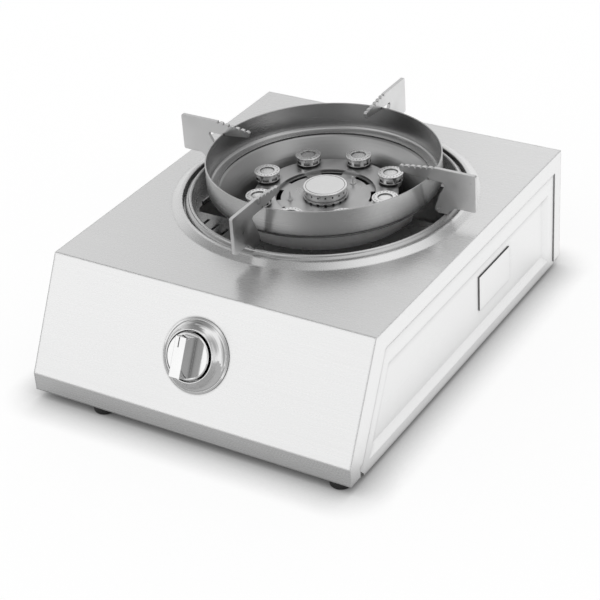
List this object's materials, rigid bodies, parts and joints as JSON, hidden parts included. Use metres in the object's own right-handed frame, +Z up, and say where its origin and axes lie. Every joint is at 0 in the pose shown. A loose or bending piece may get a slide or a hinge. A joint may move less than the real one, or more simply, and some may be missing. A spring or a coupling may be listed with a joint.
{
  "type": "tabletop gas stove",
  "caption": "Free-standing stainless gas stove with a multi-head burner, a wind ring with pan-support blades, and one push-and-turn knob on a sloped front.",
  "frame": {"origin": "on the surface that the feet stand on, under the middle of the overall box", "axes": "+Z up, +X to the right as seen from the front, the sloped front with the knob faces -Y"},
  "size_m": [0.3, 0.4122, 0.1597],
  "materials": {
    "body_steel": "brushed",
    "panel_steel": "brushed",
    "pan_steel": "plain",
    "foot_rubber": "matt",
    "fixings": "plain",
    "knob_chrome": "polished",
    "pointer_mark": "matt",
    "brass": "plain",
    "bracket_steel": "plain",
    "spring_steel": "plain",
    "valve_alloy": "cast",
    "igniter_plastic": "matt",
    "burner_iron": "cast",
    "copper_pipe": "plain",
    "deck_steel": "satin",
    "head_steel": "turned",
    "probe_ceramic": "plain",
    "lead_sleeve": "matt",
    "tray_steel": "satin",
    "ring_steel": "matt",
    "skirt_steel": "polished",
    "blade_steel": "satin"
  },
  "bodies": {
    "base": {"top_shell": "body_steel", "side_panel_left": "panel_steel", "side_panel_right": "panel_steel", "rear_panel": "panel_steel", "bottom_pan": "pan_steel", "feet": "foot_rubber", "foot_screws": "fixings", "rear_screws": "fixings", "knob_bezel": "knob_chrome", "return_spring": "spring_steel", "gas_valve": "valve_alloy", "valve_bracket": "bracket_steel", "valve_screws": "fixings", "flame_safety_magnet": "brass", "piezo_igniter": "igniter_plastic", "outer_injector": "brass", "inner_injector": "brass", "outer_mixing_tube": "burner_iron", "inner_mixing_tube": "burner_iron", "gas_pipe": "copper_pipe", "pipe_nut": "brass", "inlet_fitting": "brass", "inlet_nut": "brass", "burner_body": "burner_iron", "burner_deck": "deck_steel", "outer_head_1": "head_steel", "outer_head_2": "head_steel", "outer_head_3": "head_steel", "outer_head_4": "head_steel", "outer_head_5": "head_steel", "outer_head_6": "head_steel", "outer_head_7": "head_steel", "outer_head_8": "head_steel", "centre_head": "head_steel", "burner_bracket_left": "bracket_steel", "burner_bracket_right": "bracket_steel", "bracket_screws": "fixings", "ignition_electrode": "probe_ceramic", "flame_sensor": "probe_ceramic", "ignition_lead": "lead_sleeve", "sensor_lead": "lead_sleeve"},
    "knob_push": {"thrust_collar": "bracket_steel"},
    "knob_turn": {"knob": "knob_chrome", "knob_pointer": "pointer_mark", "valve_stem": "brass"},
    "outer_shutter": {"outer_air_shutter": "bracket_steel"},
    "inner_shutter": {"inner_air_shutter": "bracket_steel"},
    "tray": {"drip_tray": "tray_steel"},
    "pan_support": {"wind_ring": "ring_steel", "flame_skirt": "skirt_steel", "support_blade_right": "blade_steel", "support_blade_back": "blade_steel", "support_blade_left": "blade_steel", "support_blade_front": "blade_steel"},
    "cap": {"centre_cap": "head_steel"}
  },
  "joints": [
    {"name": "knob_press", "type": "slide", "parent": "base", "child": "knob_push", "axis": [0, 0.8824, -0.4706], "range_m": [0, 0.003], "stiffness_N_per_m": 900, "springref_m": -0.004, "deforming": ["return_spring"]},
    {"name": "knob_turn", "type": "hinge", "parent": "knob_push", "child": "knob_turn", "pos_m": [0, -0.17459, 0.06962], "axis": [0, -0.8824, 0.4706], "range_deg": [0, 180]},
    {"name": "outer_shutter_turn", "type": "hinge", "parent": "base", "child": "outer_shutter", "pos_m": [-0.017, -0.10092, 0.048], "axis": [0, 1, 0], "range_deg": [-30, 30]},
    {"name": "inner_shutter_turn", "type": "hinge", "parent": "base", "child": "inner_shutter", "pos_m": [0.017, -0.10092, 0.048], "axis": [0, 1, 0], "range_deg": [-30, 30]},
    {"name": "tray_lift", "type": "slide", "parent": "base", "child": "tray", "axis": [0, 0, 1], "range_m": [0, 0.06]},
    {"name": "pan_support_lift", "type": "slide", "parent": "tray", "child": "pan_support", "axis": [0, 0, 1], "range_m": [0, 0.08]},
    {"name": "cap_lift", "type": "slide", "parent": "base", "child": "cap", "axis": [0, 0, 1], "range_m": [0, 0.03]}
  ]
}
